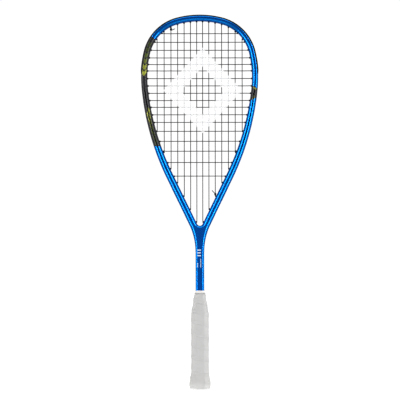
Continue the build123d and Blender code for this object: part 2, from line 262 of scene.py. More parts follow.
def travel_at_height(height):
    """Distance along the outer edge at which it comes down to a height."""
    return furthest(1200.0, lambda travel: outer_path(travel)[0][1] > height)


def depth_below(x, z, spans):
    """Depth of a point on the right half below an outline, and the outline's bearing there."""
    for centre_x, centre_z, radius, _, last in spans:
        angle = math.degrees(math.atan2(x - centre_x, z - centre_z)) % 360
        if angle <= last:
            return radius - math.hypot(x - centre_x, z - centre_z), angle
    out = math.radians(last)
    return radius - (x - centre_x) * math.sin(out) - (z - centre_z) * math.cos(out), last


def meet(x, z, along, spans, depth):
    """Distance along a direction at which a point inside an outline comes to that depth."""
    return furthest(400.0, lambda reach: depth_below(x + along[0] * reach, z + along[1] * reach,
                                                     spans)[0] > depth)


def string_end(x, z, along, stagger):
    """Hole at the end of a string on the right half: the nose's tip, then the hole's axis."""
    reach = meet(x, z, along, OPENING, 0.0)
    hit_x = x + along[0] * reach
    hit_z = z + along[1] * reach
    bearing = math.radians(depth_below(hit_x, hit_z, OPENING)[1])
    outwards = Vector((math.sin(bearing), 0, math.cos(bearing)))
    axis = (outwards * HOLE_SQUARENESS + Vector((along[0], 0, along[1]))).normalized()
    free = meet(x, z, along, OPENING, NOSE)
    return Vector((x + along[0] * free, stagger, z + along[1] * free)), axis


def reach_depth(end, depth):
    """Point on a hole's axis at a depth below the tube's outer edge, either half."""
    tip, axis = end
    side = 1 if tip.x >= 0 else -1
    return tip + axis * meet(side * tip.x, tip.z, (side * axis.x, axis.z), OUTER, depth)


def flip(end):
    """The same hole on the left half."""
    tip, axis = end
    return Vector((-tip.x, tip.y, tip.z)), Vector((-axis.x, axis.y, axis.z))


def main_places():
    """Distance of each main from the axis, left to right."""
    half = [MAIN_FIRST]
    for step in range(1, MAIN_COUNT // 2):
        half.append(half[-1] + MAIN_PITCH + MAIN_SPREAD * step)
    return [-x for x in reversed(half)] + half


def cross_places():
    """Height of each cross, from the top down."""
    heights = [CROSS_TOP]
    for pitch in CROSS_PITCHES:
        heights.append(heights[-1] - pitch)
    return heights


def main_ends(x):
    """Upper and lower holes of the main at x."""
    ends = [string_end(abs(x), WIDEST, (0, up), STAGGER) for up in (1, -1)]
    return ends if x > 0 else [flip(end) for end in ends]


def cross_ends(z):
    """Left and right holes of the cross at height z."""
    right = string_end(0.0, z, (1, 0), -STAGGER)
    return flip(right), right


def crossing_sign(main, cross):
    """Sign of a main's Y at a crossing, or None where the two don't meet in the head."""
    x = mains[main - 1]
    z = crosses[cross - 1]
    uprights = main_holes[main - 1]
    sides = cross_holes[cross - 1]
    side = sides[1] if x > 0 else sides[0]
    if not (uprights[1][0].z < z < uprights[0][0].z and abs(x) < abs(side[0].x)):
        return None
    upright = uprights[0] if z > WIDEST else uprights[1]
    if min(abs(upright[0].z - z), abs(side[0].x - x)) < CORNER_ROOM:
        return 1
    return 1 if (main + cross) % 2 else -1


# ---------------------------------------------------------------- lines and meshes

def rounded(corners, radii, steps):
    """Flat or space line through corners, each inner one rounded by an arc of steps pieces."""
    points = [corners[0]]
    for before, corner, after, radius in zip(corners, corners[1:], corners[2:], radii):
        back = before - corner
        forth = after - corner
        turn = math.pi - back.angle(forth)
        if turn < 1e-4:
            points.append(corner)
            continue
        reach = min(radius * math.tan(turn / 2), 0.49 * back.length, 0.49 * forth.length)
        radius = reach / math.tan(turn / 2)
        first = corner + back.normalized() * reach
        last = corner + forth.normalized() * reach
        towards = (back.normalized() + forth.normalized()).normalized()
        centre = corner + towards * (radius / math.cos(turn / 2))
        for step in range(steps + 1):
            part = step / steps
            arm = (first - centre) * math.sin((1 - part) * turn)
            arm += (last - centre) * math.sin(part * turn)
            points.append(centre + arm / math.sin(turn))
    points.append(corners[-1])
    return points


def put(name, data):
    """New object in the scene."""
    made = bpy.data.objects.new(name, data)
    bpy.context.scene.collection.objects.link(made)
    return made


class Shell:
    """Vertices, faces and per-vertex values of one mesh while it is being made."""

    def __init__(self, *values):
        self.points = []
        self.faces = []
        self.values = {name: [] for name in values}

    def add(self, point, **values):
        self.points.append(tuple(point))
        for name, value in values.items():
            self.values[name].append(value)
        return len(self.points) - 1

    def grid(self, rows, closed=False, keep=None):
        """Quads between rows of vertex numbers, round each row too if it is closed."""
        for number, (row, following) in enumerate(zip(rows, rows[1:])):
            last = len(row) if closed else len(row) - 1
            for place in range(last):
                after = (place + 1) % len(row)
                if keep is None or keep(number, place):
                    self.faces.append((row[place], row[after], following[after], following[place]))

    def piece(self, name, material, nodes, merge=0.004, crease=38.0):
        """The finished object, which rides on the racket and stands for its CAD nodes."""
        mesh = bpy.data.meshes.new(name)
        mesh.from_pydata([tuple(c * MM for c in point) for point in self.points], [], self.faces)
        for key, numbers in self.values.items():
            mesh.attributes.new(key, "FLOAT", "POINT").data.foreach_set("value", numbers)
        work = bmesh.new()
        work.from_mesh(mesh)
        bmesh.ops.remove_doubles(work, verts=work.verts, dist=merge * MM)
        bmesh.ops.dissolve_degenerate(work, edges=work.edges, dist=merge * MM)
        loose = [vertex for vertex in work.verts if not vertex.link_faces]
        bmesh.ops.delete(work, geom=loose, context="VERTS")
        bmesh.ops.recalc_face_normals(work, faces=work.faces)
        work.to_mesh(mesh)
        work.free()
        for polygon in mesh.polygons:
            polygon.use_smooth = True
        mesh.set_sharp_from_angle(angle=math.radians(crease))
        mesh.materials.append(material)
        made = put(name, mesh)
        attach(made, "root")
        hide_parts(*nodes)
        return made


def tube(shell, points, radius=STRING / 2, sides=STRING_SIDES, round_end=False):
    """Round tube along a line, with flat or rounded caps."""
    lines = [(after - before).normalized() for before, after in zip(points, points[1:])]
    headings = [lines[0]]
    headings += [(one + two).normalized() for one, two in zip(lines, lines[1:])]
    headings.append(lines[-1])
    across = headings[0].cross(Vector((0, 1, 0)))
    if across.length < 0.1:
        across = headings[0].cross(Vector((1, 0, 0)))
    rows = []
    travel = 0.0
    for number, (point, heading) in enumerate(zip(points, headings)):
        if number:
            travel += (point - points[number - 1]).length
        across = (across - heading * across.dot(heading)).normalized()
        other = heading.cross(across)
        row = []
        for side in range(sides + 1):
            angle = 2 * math.pi * side / sides
            spoke = across * math.cos(angle) + other * math.sin(angle)
            row.append(shell.add(point + spoke * radius, along=travel, around=side / sides))
        rows.append(row)
    shell.grid(rows)
    for row, point, outwards, travel in ((rows[0], points[0], -headings[0], 0.0),
                                         (rows[-1], points[-1], headings[-1], travel)):
        bulge = 0.45 * radius if round_end else 0.0
        inner = []
        for place, number in enumerate(row):
            edge = Vector(shell.points[number])
            inner.append(shell.add(point + (edge - point) * 0.75 + outwards * bulge * 0.6,
                                   along=travel, around=place / sides))
        hub = shell.add(point + outwards * bulge, along=travel, around=0.5)
        shell.grid([row, inner])
        for place in range(sides):
            shell.faces.append((inner[place], inner[place + 1], hub))


def barrel(shell, end, mouth):
    """Grommet barrel round its string hole, with a rounded nose and a funnel at its mouth."""
    tip, axis = end
    length = (reach_depth(end, mouth) - tip).length
    side = axis.cross(Vector((0, 1, 0))).normalized()
    up = axis.cross(side)
    outside = BARREL / 2
    inside = BORE / 2
    profile = [(length, outside), (0.55, outside), (0.2, outside - 0.07), (0.04, outside - 0.22),
               (0.0, outside - 0.36), (0.08, inside + 0.1), (0.3, inside), (length - 0.7, inside),
               (length - 0.2, inside + 0.16), (length, inside + 0.4)]
    rows = []
    for height, radius in profile:
        row = []
        for step in range(20):
            angle = math.pi * step / 10
            spoke = side * math.cos(angle) + up * math.sin(angle)
            row.append(shell.add(tip + axis * height + spoke * radius))
        rows.append(row)
    shell.grid(rows + [rows[0]], closed=True)


def swept(shell, section, first, last, ends, step=STATION):
    """Closed section (height above the tube's edge, y) swept along the outer edge.

    Travel is negative on the left half. ends gives a scale of the height above the edge.
    """
    count = max(2, round((last - first) / step))
    rows = []
    for number in range(count + 1):
        travel = first + (last - first) * number / count
        (x, z), (normal_x, normal_z) = outer_path(abs(travel))
        side = 1 if travel >= 0 else -1
        scale = ends(travel)
        row = []
        for height, y in section:
            lift = height * scale if height > 0 else height
            row.append(shell.add((side * (x + normal_x * lift), y, z + normal_z * lift)))
        rows.append(row)
    shell.grid(rows, closed=True)
    shell.faces.append(tuple(rows[0]))
    shell.faces.append(tuple(rows[-1]))


def mirrored_section(corners, radii):
    """Closed section from its right half's corners, whose first and last have y = 0."""
    half = [(p.x, p.y) for p in rounded([Vector(c) for c in corners], radii, 3)]
    return half + [(height, -y) for height, y in reversed(half[1:-1])]


# ---------------------------------------------------------------- materials

class Paint:
    """One node material and short calls that add to it."""

    def __init__(self, name, **sockets):
        self.material = bpy.data.materials.new(name)
        self.material.use_nodes = True
        self.tree = self.material.node_tree
        self.shader = self.tree.nodes["Principled BSDF"]
        for socket, value in sockets.items():
            self.set(socket, value)

    def set(self, socket, value):
        """Give the shader's socket a number, a colour or another node's output."""
        self.wire(self.shader.inputs[socket.replace("_", " ")], value)

    def wire(self, socket, value):
        if isinstance(value, bpy.types.NodeSocket):
            self.tree.links.new(value, socket)
        elif isinstance(value, tuple) and len(value) == 3 and socket.type == "RGBA":
            socket.default_value = (*value, 1.0)
        else:
            socket.default_value = value

    def node(self, kind, settings=(), **sockets):
        made = self.tree.nodes.new(kind)
        for key, value in dict(settings).items():
            setattr(made, key, value)
        for key, value in sockets.items():
            self.wire(made.inputs[key.replace("_", " ")], value)
        return made

    def math(self, operation, *values):
        made = self.node("ShaderNodeMath", {"operation": operation})
        for socket, value in zip(made.inputs, values):
            self.wire(socket, value)
        return made.outputs[0]

    def times(self, first, *others):
        for other in others:
            first = self.math("MULTIPLY", first, other)
        return first

    def most(self, first, *others):
        for other in others:
            first = self.math("MAXIMUM", first, other)
        return first

    def minus(self, first, second):
        return self.math("SUBTRACT", first, second)

    def apart(self, first, second):
        return self.math("ABSOLUTE", self.minus(first, second))

    def linear(self, value, factor, add):
        return self.math("MULTIPLY_ADD", value, factor, add)

    def ramp(self, value, low, high, start=0.0, end=1.0):
        """value taken from low..high to start..end, smoothly and without overshoot."""
        made = self.node("ShaderNodeMapRange", {"interpolation_type": "SMOOTHSTEP"}, Value=value,
                         From_Min=low, From_Max=high, To_Min=start, To_Max=end)
        return made.outputs[0]

    def inside(self, value, low, high, soft):
        """1 between low and high, falling to 0 over soft at each side."""
        rise = self.ramp(value, low - soft / 2, low + soft / 2)
        fall = self.ramp(value, high - soft / 2, high + soft / 2, 1.0, 0.0)
        return self.times(rise, fall)

    def value(self, name):
        return self.node("ShaderNodeAttribute", {"attribute_name": name}).outputs["Fac"]

    def place(self):
        """Place in the CAD frame, in millimetres."""
        seen = self.node("ShaderNodeTexCoord").outputs["Object"]
        made = self.node("ShaderNodeVectorMath", {"operation": "SCALE"}, Vector=seen, Scale=1000.0)
        return made.outputs[0]

    def parts(self, vector):
        return self.node("ShaderNodeSeparateXYZ", Vector=vector).outputs

    def vector(self, x, y, z):
        return self.node("ShaderNodeCombineXYZ", X=x, Y=y, Z=z).outputs[0]

    def noise(self, vector, scale, detail=2.0, roughness=0.5):
        made = self.node("ShaderNodeTexNoise", Vector=vector, Scale=scale, Detail=detail,
                         Roughness=roughness)
        return made.outputs["Fac"]

    def cells(self, vector, scale, feature="F1", output="Distance"):
        made = self.node("ShaderNodeTexVoronoi", {"feature": feature}, Vector=vector, Scale=scale)
        return made.outputs[output]

    def mix(self, factor, first, second):
        """Mixed colour: first where factor is 0, second where it is 1."""
        made = self.node("ShaderNodeMix", {"data_type": "RGBA"})
        self.wire(made.inputs[0], factor)
        self.wire(made.inputs[6], first)
        self.wire(made.inputs[7], second)
        return made.outputs[2]

    def bump(self, height, distance, strength=1.0):
        """Bump from a height of 0..1 that stands distance millimetres high."""
        made = self.node("ShaderNodeBump", Height=height, Distance=distance * MM,
                         Strength=strength)
        self.set("Normal", made.outputs[0])

    def surface(self, colour, texture, rough, spread):
        """The material, with its colour, and a roughness that a texture raises from rough."""
        self.set("Base Color", colour)
        self.set("Roughness", self.linear(texture, spread, rough))
        return self.material


def black_stretch(paint, x, z, along):
    """Black lacquer of the left side, between its two ends."""
    top = travel_at_height(BLACK_TOP)
    left = paint.math("LESS_THAN", x, 0.0)
    upper = paint.ramp(along, top - PAINT_EDGE, top + PAINT_EDGE)
    return paint.times(left, upper, paint.ramp(z, BLACK_BOTTOM - PAINT_EDGE, BLACK_BOTTOM + PAINT_EDGE))


def chevrons(paint, along, reach):
    """The two groups of chevrons, and each chevron's number, from 0 nearest to the middle."""
    run = paint.linear(reach, -CHEVRON_SLOPE, paint.apart(along, travel_at_height(CHEVRON_MIDDLE)))
    count = paint.times(paint.minus(run, CHEVRON_FIRST), 1 / CHEVRON_PITCH)
    which = paint.math("FLOOR", count)
    within = paint.times(paint.minus(count, which), CHEVRON_PITCH)
    solid = paint.inside(within, 0.3, CHEVRON_PITCH - CHEVRON_LINE, 2 * PAINT_EDGE)
    counted = paint.inside(which, -0.5, CHEVRON_COUNT - 0.5, 0.1)
    narrower = paint.times(paint.math("MINIMUM", which, 2.0), CHEVRON_NARROWS)
    past = paint.minus(reach, paint.minus(CHEVRON_HALF, narrower))
    return paint.times(solid, counted, paint.ramp(past, -0.3, 0.2, 1.0, 0.0)), which


def dark_band(paint, x, z, across, reach):
    """Black band of the right side, and the triangle at each of its ends."""
    part = paint.times(paint.minus(BAND_REACH, across), 0.5 / BAND_REACH)
    half = paint.linear(part, BAND_HALF[1] - BAND_HALF[0], BAND_HALF[0])
    inset = paint.minus(half, paint.apart(z, BAND_MIDDLE))
    right = paint.math("GREATER_THAN", x, 0.0)
    band = paint.times(right, paint.ramp(inset, -PAINT_EDGE, PAINT_EDGE))
    tooth = paint.times(paint.minus(TOOTH_HALF, reach), TOOTH_SLOPE)
    triangle = paint.ramp(paint.minus(tooth, inset), -0.3, 0.3)
    return band, paint.times(triangle, paint.ramp(inset, 0.9, 1.4), band)


def shaft_bars(paint, x, y, z):
    """Plain bars on the front of the shaft."""
    bars = [paint.times(paint.inside(z, low, high, PAINT_EDGE), paint.inside(x, left, right, PAINT_EDGE))
            for left, right, low, high in SHAFT_BARS]
    return paint.times(paint.most(*bars), paint.math("LESS_THAN", y, 2.0 - BEAM / 2))


def frame_paint():
    """Metallic blue lacquer; dark stretches, chevrons, bars, painted highlight and painted shade on it.
    """
    paint = Paint("frame_lacquer", Coat_Weight=0.25, Coat_Roughness=0.05, Coat_IOR=1.5,
                  Specular_IOR_Level=0.35)
    place = paint.place()
    x, y, z = paint.parts(place)
    along = paint.value("along")
    across = paint.value("across")
    ridge = paint.value("ridge")
    reach = paint.math("ABSOLUTE", across)
    black = black_stretch(paint, x, z, along)
    chevron, which = chevrons(paint, along, reach)
    chevron = paint.times(chevron, black)
    band, triangle = dark_band(paint, x, z, across, reach)
    bars = shaft_bars(paint, x, y, z)
    dark = paint.most(black, band)

    sparkle = paint.parts(paint.cells(place, 5.0, output="Color"))[0]
    depth = paint.linear(paint.noise(place, 0.05, 3.0), 0.12, paint.times(sparkle, 0.25))
    # The bevels get a lighter, greener blue than the flats: a painted highlight along each bevel.
    level = paint.math("ABSOLUTE", y)
    bevel = paint.times(paint.ramp(level, 6.0, 8.0), paint.ramp(level, 9.2, 9.45, 1.0, 0.0))
    flat_blue = paint.mix(depth, (0.001, 0.20, 0.77), (0.002, 0.25, 0.90))
    bevel_highlight_blue = paint.mix(depth, (0.001, 0.30, 0.80), (0.002, 0.36, 0.94))
    # ridge darkens the head's flat ridge, on the blue and on the black stretch: painted shade.
    blue = paint.mix(ridge, paint.mix(bevel, flat_blue, bevel_highlight_blue), (0.001, 0.07, 0.36))
    black_coat = paint.mix(ridge, (0.045, 0.045, 0.050), (0.012, 0.012, 0.013))
    lime = paint.mix(paint.ramp(which, 0.4, 2.6), (0.30, 0.32, 0.055), (0.11, 0.135, 0.035))
    lime = paint.mix(paint.ramp(which, 2.5, 4.5), lime, (0.06, 0.075, 0.028))
    colour = paint.mix(dark, blue, black_coat)
    colour = paint.mix(paint.most(chevron, triangle), colour, lime)
    colour = paint.mix(bars, colour, (0.56, 0.59, 0.63))

    paint.set("Metallic", paint.linear(paint.most(dark, chevron, bars), -0.8, 0.8))
    paint.bump(paint.linear(sparkle, 0.06, paint.noise(place, 0.35, 1.0)), 0.02, 0.2)
    return paint.surface(colour, paint.noise(place, 0.9, 4.0, 0.6), 0.17, 0.08)


def moulded(name, shade, rough=0.32):
    """Black nylon with a fine moulded grain and scuffs."""
    paint = Paint(name, Specular_IOR_Level=0.45)
    place = paint.place()
    scuffs = paint.noise(place, 0.25, 4.0, 0.7)
    lighter = tuple(2.2 * part for part in shade)
    paint.bump(paint.noise(place, 3.3, 3.0, 0.6), 0.03, 0.6)
    return paint.surface(paint.mix(paint.ramp(scuffs, 0.45, 0.75), shade, lighter), scuffs,
                         rough, 0.25)


def string_paint():
    """Black multifilament: spiral wrap under a thin coat, with a white stencil in the head."""
    paint = Paint("string_multifilament", Specular_IOR_Level=0.25)
    along = paint.value("along")
    place = paint.place()
    x, _, z = paint.parts(place)
    spiral = paint.linear(paint.value("around"), 3.0, paint.times(along, 1.4))
    wave = paint.math("SINE", paint.times(spiral, 2 * math.pi))
    lay = paint.vector(paint.times(spiral, 3.0), paint.times(along, 0.15), 0.0)
    fibre = paint.noise(lay, 4.0, 3.0)

    over_x = paint.apart(x, STENCIL_CENTRE[0])
    over_z = paint.apart(z, STENCIL_CENTRE[1])
    ragged = paint.linear(paint.noise(place, 0.8, 2.0), 0.03, -0.015)
    outer, inner = (paint.linear(over_x, 1 / half_x, paint.linear(over_z, 1 / half_z, ragged))
                    for half_x, half_z in (STENCIL_OUTER, STENCIL_INNER))
    thin = paint.ramp(paint.noise(place, 1.6, 3.0), 0.25, 0.5, 0.82, 1.0)
    ink = paint.times(paint.ramp(outer, 0.985, 1.015, 1.0, 0.0), paint.ramp(inner, 0.98, 1.02), thin)
    black = paint.mix(fibre, (0.006, 0.006, 0.007), (0.022, 0.022, 0.024))
    paint.bump(paint.linear(wave, 0.35, fibre), 0.03, 0.5)
    return paint.surface(paint.mix(ink, black, (0.64, 0.64, 0.65)), fibre, 0.4, 0.2)


def grip_paint():
    """Light grey polyurethane tape: fine leather grain, soft mottling, painted shade at the seams."""
    paint = Paint("grip_polyurethane", Specular_IOR_Level=0.35, Sheen_Weight=0.15,
                  Sheen_Roughness=0.5)
    place = paint.place()
    _, _, z = paint.parts(place)
    pores = paint.cells(place, 1.1, "SMOOTH_F1")
    grain = paint.noise(place, 2.4, 3.0, 0.6)
    soil = paint.ramp(paint.noise(place, 0.06, 4.0, 0.6), 0.3, 0.7)
    # Painted shade along each seam, where the tape dips under the next turn's edge.
    seam_shade = paint.ramp(paint.value("turn"), 0.9, 1.0, 0.0, 0.12)
    pits = paint.ramp(pores, 0.0, 0.25, 0.25, 0.0)
    colour = paint.mix(soil, (0.481, 0.480, 0.478), (0.463, 0.462, 0.460))
    colour = paint.mix(paint.ramp(z, 20.0, 40.0, 1.0, 0.0), colour, (0.500, 0.497, 0.491))
    colour = paint.mix(seam_shade, colour, (0.34, 0.34, 0.35))
    colour = paint.mix(pits, colour, (0.40, 0.40, 0.41))
    paint.bump(paint.linear(pores, 0.9, paint.times(grain, 0.5)), 0.08, 0.6)
    return paint.surface(colour, grain, 0.5, 0.2)


def tape_paint():
    """Cream finishing tape with a crepe texture."""
    paint = Paint("finishing_tape_crepe", Specular_IOR_Level=0.3)
    place = paint.place()
    _, _, z = paint.parts(place)
    crepe = paint.noise(place, 1.0)
    threads = paint.math("SINE", paint.times(z, 2 * math.pi / 0.42))
    paint.bump(paint.linear(threads, 0.3, paint.noise(place, 2.0, 3.0)), 0.05, 0.6)
    return paint.surface(paint.mix(crepe, (0.62, 0.61, 0.60), (0.69, 0.68, 0.67)), crepe, 0.5, 0.15)


def cap_paint():
    """White moulded plastic of the butt cap."""
    paint = Paint("butt_cap_plastic", Specular_IOR_Level=0.45)
    place = paint.place()
    grain = paint.noise(place, 2.0, 3.0)
    marks = paint.noise(place, 0.15, 4.0, 0.6)
    paint.bump(grain, 0.03, 0.5)
    return paint.surface(paint.mix(marks, (0.59, 0.589, 0.587), (0.63, 0.629, 0.627)), grain,
                         0.4, 0.15)


def badge_paint():
    """Blank blue badge with a pale rim and turned rings."""
    paint = Paint("badge_satin", Metallic=0.4, Coat_Weight=0.4, Coat_Roughness=0.2)
    place = paint.place()
    x, y, _ = paint.parts(place)
    out = paint.math("SQRT", paint.linear(x, x, paint.times(y, y)))
    rim = paint.ramp(out, 7.2, 7.5)
    paint.bump(paint.math("SINE", paint.times(out, 2 * math.pi / 0.35)), 0.01, 0.5)
    return paint.surface(paint.mix(rim, (0.004, 0.12, 0.55), (0.55, 0.56, 0.58)),
                         paint.noise(place, 1.5), 0.25, 0.2)


def pallet_paint():
    """Buff polyurethane foam of the handle's two halves."""
    paint = Paint("pallet_foam", Specular_IOR_Level=0.25)
    place = paint.place()
    cells = paint.cells(place, 1.6)
    grain = paint.noise(place, 0.2, 3.0)
    paint.bump(cells, 0.1, 0.5)
    return paint.surface(paint.mix(grain, (0.46, 0.36, 0.22), (0.60, 0.49, 0.32)), cells, 0.65, 0.2)


def staple_paint():
    """Bright steel wire."""
    paint = Paint("staple_steel", Metallic=1.0)
    drawn = paint.noise(paint.place(), 2.0, 3.0)
    paint.bump(drawn, 0.01, 0.5)
    return paint.surface(paint.mix(drawn, (0.50, 0.50, 0.51), (0.68, 0.68, 0.68)), drawn, 0.25, 0.2)


# ---------------------------------------------------------------- carbon frame

def ease(value, low, high):
    """0 up to low, 1 from high on, and smooth between them."""
    part = min(1.0, max(0.0, (value - low) / (high - low)))
    return part * part * (3 - 2 * part)


def bevel_widths(width, height):
    """Width of the outer and the inner bevel where the tube is this wide, at a height.

    They meet in a narrow ridge on the head, which lies further out beside the guard, and
    keep to the edges on the shaft.
    """
    share = 0.5 + BEVEL_SHIFT * ease(height, *BEVEL_SHIFTS)
    widest = BEVEL_ACROSS + BEVEL_WIDER * ease(height, *BEVEL_WIDENS)
    outer = min((width - RIDGE) * (1 - share), widest)
    inner = min((width - RIDGE) * share, BEVEL_INNER)
    return outer, inner


def tube_strip(depth, across):
    """Section from the tube's mid plane to its flat face: (distance from the edge, y)."""
    steep = math.radians(BEVEL_STEEP)
    shallow = math.radians(BEVEL_SHALLOW)
    radius = across / (math.sin(steep) - math.sin(shallow))
    points = [Vector((0.0, 0.0))]
    if depth > 0:
        corners = [(depth, 0.0), (depth, CHANNEL_WIDTH / 2), (0.0, CHANNEL_WIDTH / 2), (0.0, 3.7)]
        points = rounded([Vector(c) for c in corners], (0.25, LIP), 6)
    for step in range(BEVEL_STEPS + 1):
        angle = steep + (shallow - steep) * step / BEVEL_STEPS
        points.append(Vector((radius * (math.sin(steep) - math.sin(angle)),
                              BEAM / 2 - radius * (math.cos(shallow) - math.cos(angle)))))
    points.append(Vector((across + RIDGE / 2, BEAM / 2)))
    return points


def flat_edge(travel):
    """Height of the flat's edge beside the outer bevel, below the crotch."""
    start, out = outer_path(travel)
    return start[1] - out[1] * (bevel_widths(2 * SHAFT_WIDTH, start[1])[0] + RIDGE / 2)


def frame_stations():
    """Where one half of the tube gets a section, from the top of the head down to the butt.

    Each station is its travel along the outer edge, the point and normal of the inner edge
    and the share of the crotch's bevel. The second result is how many of them have an inner
    edge of their own: below the crotch the two halves meet in the middle.
    """
    # round the arcs of the head
    stations = []
    arcs_length = arc_length(OUTER, LIMB_BEARING)
    count = round(arcs_length / STATION)
    for step in range(count + 1):
        bearing = LIMB_BEARING * step / count
        stations.append((arc_length(OUTER, bearing), *outline_at(OPENING, bearing), 0.0))

    # down the straight limb, as far as the crotch's arc
    start, normal = outline_at(OPENING, OPENING[-1][4])
    along = (normal[1], -normal[0])
    run = (start[0] - CROTCH_RADIUS * normal[0]) / -along[0]
    crotch = (start[0] + along[0] * run, start[1] + along[1] * run)
    nearest = min(range(300, 900), key=lambda travel: math.dist(outer_path(travel)[0], crotch))
    steps = round(run / (1.5 * STATION))
    for step in range(1, steps + 1):
        part = step / steps
        point = (start[0] + along[0] * run * part, start[1] + along[1] * run * part)
        stations.append((arcs_length + (nearest - arcs_length) * part, point, normal, 0.0))

    # round the crotch, while the outer edge runs on until its flat is as low as the inner one
    centre_z = crotch[1] - CROTCH_RADIUS * normal[1]
    low = centre_z - CROTCH_RADIUS - CROTCH_BEVEL - RIDGE / 2
    drop = flat_edge(travel_at_height(low)) - low
    lowest = travel_at_height(low - drop)
    turns = 16
    for step in range(1, turns + 1):
        part = step / turns
        bearing = math.radians(LIMB_BEARING + (180 - LIMB_BEARING) * part)
        normal = (math.sin(bearing), math.cos(bearing))
        point = (CROTCH_RADIUS * normal[0], centre_z + CROTCH_RADIUS * normal[1])
        travel = nearest + (lowest - nearest) * part ** 0.85
        stations.append((travel, point, normal, ease(part, 0.0, 0.8)))

    # down the shaft
    full = len(stations)
    count = round((low - SHAFT_BOTTOM) / 4)
    for step in range(1, count + 1):
        height = low + (SHAFT_BOTTOM - low) * step / count
        point = (0.0, height + CROTCH_BEVEL + RIDGE / 2)
        stations.append((travel_at_height(height), point, (0.0, -1.0), 1.0))
    return stations, full


def make_frame():
    """Tube of the head and shaft: channel, four bevels and the flats between them."""
    shell = Shell("along", "across", "ridge")
    stations, full = frame_stations()
    edge_points = len(tube_strip(0.0, BEVEL_ACROSS))
    for side in (1, -1):
        for face in (-1, 1):
            rows = []
            for travel, point, normal, crotch in stations:
                start, out = outer_path(travel)
                fade = min(1.0, max(0.02, (start[1] - CHANNEL_END) / 6))
                width = math.dist(start, point)
                outer, inner = bevel_widths(width, start[1])
                inner += (CROTCH_BEVEL - inner) * crotch
                # share of the painted shade along the head's ridge
                ridge = ease(start[1], *RIDGE_FROM)
                row = []
                for deep, y in tube_strip(CHANNEL_DEPTH * fade, outer):
                    row.append(shell.add((side * (start[0] - out[0] * deep), face * y,
                                          start[1] - out[1] * deep),
                                         along=travel, across=width / 2 - deep,
                                         ridge=ridge * (deep > outer + 0.1)))
                for deep, y in reversed(tube_strip(0.0, inner)):
                    row.append(shell.add((side * (point[0] + normal[0] * deep), face * y,
                                          point[1] + normal[1] * deep),
                                         along=travel, across=deep - width / 2,
                                         ridge=ridge * (deep > inner + 0.1)))
                rows.append(row)
            solid = len(rows[0]) - edge_points
            shell.grid(rows, keep=lambda row, place: row < full - 1 or place < solid)
            middle = shell.add((0.0, 0.0, SHAFT_BOTTOM), along=0.0, across=0.0, ridge=0.0)
            shell.faces.append((*rows[-1][:solid + 1], middle))
    return shell.piece("frame_tube", frame_paint(), ["frame"])


# ---------------------------------------------------------------- guard, strips, strings

def make_guard(material, holes):
    """Bumper guard: crowned plate with two moulded lines, rib, string groove and barrels."""
    shell = Shell()
    groove = GROOVE_WIDTH / 2
    edge = GUARD_WIDTH / 2
    floor = STRIP - CHANNEL_DEPTH
    corners = [(floor, 0), (floor, groove), (GUARD, groove), (GUARD - 0.1, 3.7), (GUARD - 0.4, 3.85),
               (GUARD - 0.4, 4.25), (GUARD - 0.2, 4.4), (GUARD - 0.4, edge - 0.7), (0.35, edge + 1.0),
               (-1.35, edge + 2.75), (-1.6, edge + 2.2), (-0.6, edge + 0.6), (0.0, 4.0), (0.0, 2.7),
               (-CHANNEL_DEPTH, 2.7), (-CHANNEL_DEPTH, 0)]
    radii = (0.25, 0.4, 0.12, 0.1, 0.1, 0.12, 1.2, 1.0, 0.3, 0.15, 1.0, 1.0, 0.1, 0.2)
    end = travel_at_height(GUARD_END)

    def taper(travel):
        return GUARD_THIN + (1 - GUARD_THIN) * min(1.0, (end - abs(travel)) / GUARD_TAPER)

    swept(shell, mirrored_section(corners, radii), -end, end, taper, 1.5)
    for hole in holes:
        barrel(shell, hole, -floor)
    return shell.piece("bumper_guard_moulding", material, ["bumper_guard"])


def make_strip(side, material, holes):
    """Grommet strip of one limb: base with two low edges in the channel, and its barrels."""
    shell = Shell()
    floor = STRIP - CHANNEL_DEPTH
    edge = STRIP_WIDTH / 2
    corners = [(floor, 0), (floor, edge - 0.8), (floor + 0.45, edge - 0.6), (floor + 0.45, edge),
               (-CHANNEL_DEPTH, edge), (-CHANNEL_DEPTH, 0)]
    section = mirrored_section(corners, (0.2, 0.15, 0.2, 0.1))
    first = travel_at_height(GUARD_END - STRIP_GAP)
    last = travel_at_height(CHANNEL_END + 0.5)
    swept(shell, section, *sorted((side * first, side * last)), lambda travel: 1.0)
    for hole in holes:
        if hole[0].x * side > 0:
            barrel(shell, hole, -floor)
    name = "right" if side > 0 else "left"
    return shell.piece(f"grommets_{name}", material, [f"grommet_strip_{name}"])


def run_line(first, last, crossings):
    """Line of one string: out of one barrel, over and under, and into the other barrel."""
    corners = [reach_depth(first, CHANNEL_DEPTH), first[0], *crossings, last[0],
               reach_depth(last, CHANNEL_DEPTH)]
    radii = [WEAVE_RADIUS] * (len(corners) - 2)
    radii[0] = NOSE_RADIUS
    radii[-1] = NOSE_RADIUS
    return rounded(corners, radii, 4)


def loop_line(first, last):
    """Line of the string between two neighbouring holes, outside the tube in its channel."""
    corners = [reach_depth(first, CHANNEL_DEPTH), reach_depth(first, LOOP_DEPTH),
               reach_depth(last, LOOP_DEPTH), reach_depth(last, CHANNEL_DEPTH)]
    return rounded(corners, (LOOP_RADIUS, LOOP_RADIUS), 5)


